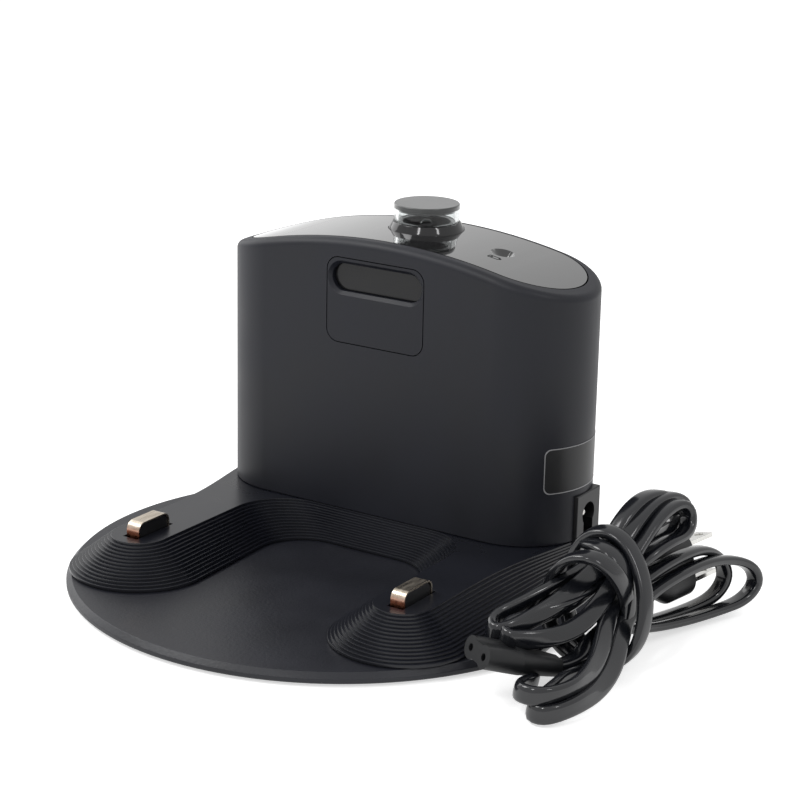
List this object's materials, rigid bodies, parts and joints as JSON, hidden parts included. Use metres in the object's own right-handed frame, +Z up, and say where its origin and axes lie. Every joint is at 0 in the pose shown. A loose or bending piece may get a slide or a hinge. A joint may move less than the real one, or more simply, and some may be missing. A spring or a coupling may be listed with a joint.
{
  "type": "robot vacuum charging dock",
  "caption": "Charging dock for a robot vacuum: round floor plate, ridged ramps with sprung contacts, arched tower with infrared window, beacon and mains inlet, and a loose power lead.",
  "frame": {"origin": "on the floor, under the middle of the dock without its lead", "axes": "+X to the right seen from the front, +Y to the back where the tower stands, +Z up"},
  "size_m": [0.2301, 0.1662, 0.1264],
  "materials": {
    "body_plastic": "fine satin texture",
    "gloss_black": "polished",
    "window_dark": "dark infrared window",
    "lens_clear": "clear",
    "cap_plastic": "matte",
    "reflector_black": "polished",
    "lamp_epoxy": "clear resin",
    "inlet_plastic": "plain",
    "nickel": "nickel plated",
    "contact_metal": "plated strip",
    "steel": "plain steel",
    "board_laminate": "green laminate",
    "transformer_tape": "tape-wrapped",
    "capacitor_sleeve": "sleeved can",
    "package_black": "moulded package",
    "fuse_body": "ceramic tube",
    "wire_insulation": "insulated wire",
    "foot_rubber": "matte",
    "cord_sheath": "glossy sheath",
    "cord_ends": "moulded on"
  },
  "bodies": {
    "dock": {"base_plate": "body_plastic", "ramp_cover": "body_plastic", "tower_shell": "body_plastic", "window_bezel": "body_plastic", "top_cover": "gloss_black", "beacon_collar": "gloss_black", "ir_window": "window_dark", "beacon_lens": "lens_clear", "beacon_cap": "cap_plastic", "beacon_reflector": "reflector_black", "beacon_emitter": "lamp_epoxy", "ir_emitters": "lamp_epoxy", "indicator_led": "lamp_epoxy", "inlet_housing": "inlet_plastic", "inlet_pins": "nickel", "plug_blades": "nickel", "left_terminal_plate": "contact_metal", "right_terminal_plate": "contact_metal", "left_contact_spring": "steel", "right_contact_spring": "steel", "base_screws": "steel", "board_screws": "steel", "main_board": "board_laminate", "beacon_board": "board_laminate", "transformer": "transformer_tape", "capacitors": "capacitor_sleeve", "bridge_rectifier": "package_black", "mains_fuse": "fuse_body", "left_contact_lead": "wire_insulation", "right_contact_lead": "wire_insulation", "inlet_leads": "wire_insulation", "rubber_feet": "foot_rubber", "power_cord": "cord_sheath", "cord_connector": "cord_ends", "cord_plug": "cord_ends"},
    "left_contact": {"left_contact_strip": "contact_metal", "left_contact_carrier": "body_plastic"},
    "right_contact": {"right_contact_strip": "contact_metal", "right_contact_carrier": "body_plastic"}
  },
  "joints": [
    {"name": "left_contact_press", "type": "slide", "parent": "dock", "child": "left_contact", "axis": [0, 0, -1], "range_m": [0, 0.003], "stiffness_N_per_m": 300, "springref_m": -0.002, "deforming": ["left_contact_spring"]},
    {"name": "right_contact_press", "type": "slide", "parent": "dock", "child": "right_contact", "axis": [0, 0, -1], "range_m": [0, 0.003], "stiffness_N_per_m": 300, "springref_m": -0.002, "deforming": ["right_contact_spring"]}
  ]
}
